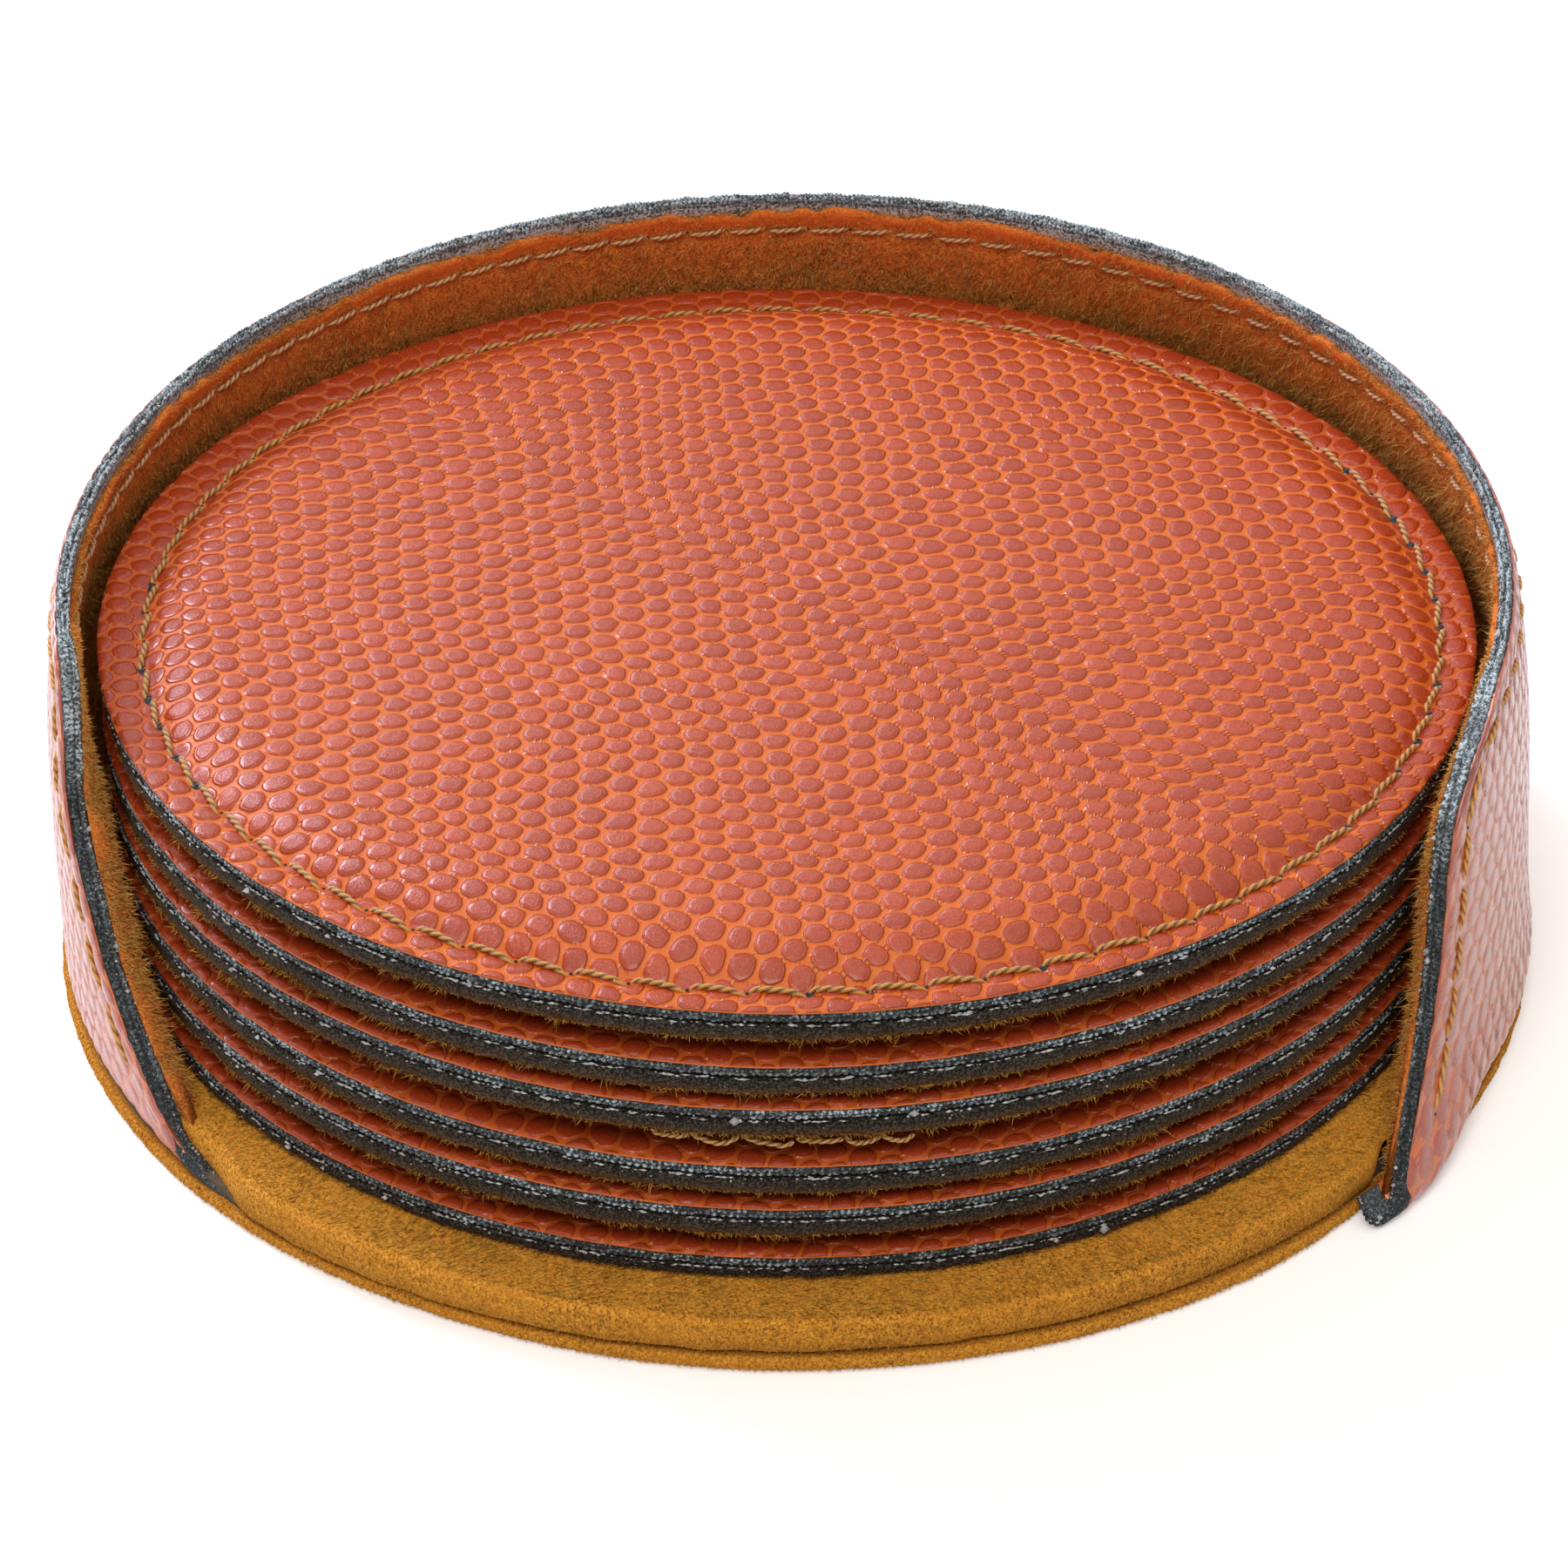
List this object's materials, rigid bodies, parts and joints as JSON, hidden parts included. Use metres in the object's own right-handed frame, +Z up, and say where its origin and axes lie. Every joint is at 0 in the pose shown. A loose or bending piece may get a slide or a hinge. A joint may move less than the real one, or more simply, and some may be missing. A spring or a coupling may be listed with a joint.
{
  "type": "coaster set with holder",
  "caption": "Round padded leatherette coasters stacked in a round open-front holder with a suede lining; each coaster lifts straight out over the rim.",
  "frame": {"origin": "centre of the holder's flat underside, on the axis of the stack", "axes": "+Z up out of the holder along the axis of the stack, -Y towards the open front, +X to the right as seen from the open front"},
  "size_m": [0.1005, 0.1002, 0.0314],
  "materials": {
    "leatherette": "pebble grain, semi-matt",
    "knit": "cut knit edge, matt",
    "coaster_suede": "napped suede",
    "pad_foam": "soft felted pad",
    "thread": "twisted sewing thread",
    "lining_suede": "napped suede",
    "base_suede": "napped suede",
    "board": "plain grey board"
  },
  "bodies": {
    "holder": {"holder_wall_leather_face": "leatherette", "holder_wall_knit_backing": "knit", "holder_wall_suede_lining": "lining_suede", "holder_wall_outer_topstitch": "thread", "holder_wall_inner_topstitch": "thread", "holder_base_upper_board": "board", "holder_base_upper_suede": "base_suede", "holder_base_lower_board": "board", "holder_base_lower_suede": "base_suede"},
    "coaster_1": {"coaster_1_leather_face": "leatherette", "coaster_1_knit_backing": "knit", "coaster_1_pad": "pad_foam", "coaster_1_suede_underside": "coaster_suede", "coaster_1_seam_thread": "thread"},
    "coaster_2": {"coaster_2_leather_face": "leatherette", "coaster_2_knit_backing": "knit", "coaster_2_pad": "pad_foam", "coaster_2_suede_underside": "coaster_suede", "coaster_2_seam_thread": "thread"},
    "coaster_3": {"coaster_3_leather_face": "leatherette", "coaster_3_knit_backing": "knit", "coaster_3_pad": "pad_foam", "coaster_3_suede_underside": "coaster_suede", "coaster_3_seam_thread": "thread"},
    "coaster_4": {"coaster_4_leather_face": "leatherette", "coaster_4_knit_backing": "knit", "coaster_4_pad": "pad_foam", "coaster_4_suede_underside": "coaster_suede", "coaster_4_seam_thread": "thread"},
    "coaster_5": {"coaster_5_leather_face": "leatherette", "coaster_5_knit_backing": "knit", "coaster_5_pad": "pad_foam", "coaster_5_suede_underside": "coaster_suede", "coaster_5_seam_thread": "thread"},
    "coaster_6": {"coaster_6_leather_face": "leatherette", "coaster_6_knit_backing": "knit", "coaster_6_pad": "pad_foam", "coaster_6_suede_underside": "coaster_suede", "coaster_6_seam_thread": "thread"}
  },
  "joints": [
    {"name": "coaster_1_lift", "type": "slide", "parent": "holder", "child": "coaster_1", "axis": [0, 0, 1], "range_m": [0, 0.0375]},
    {"name": "coaster_2_lift", "type": "slide", "parent": "coaster_1", "child": "coaster_2", "axis": [0, 0, 1], "range_m": [0, 0.0338]},
    {"name": "coaster_3_lift", "type": "slide", "parent": "coaster_2", "child": "coaster_3", "axis": [0, 0, 1], "range_m": [0, 0.0301]},
    {"name": "coaster_4_lift", "type": "slide", "parent": "coaster_3", "child": "coaster_4", "axis": [0, 0, 1], "range_m": [0, 0.0264]},
    {"name": "coaster_5_lift", "type": "slide", "parent": "coaster_4", "child": "coaster_5", "axis": [0, 0, 1], "range_m": [0, 0.0227]},
    {"name": "coaster_6_lift", "type": "slide", "parent": "coaster_5", "child": "coaster_6", "axis": [0, 0, 1], "range_m": [0, 0.019]}
  ]
}
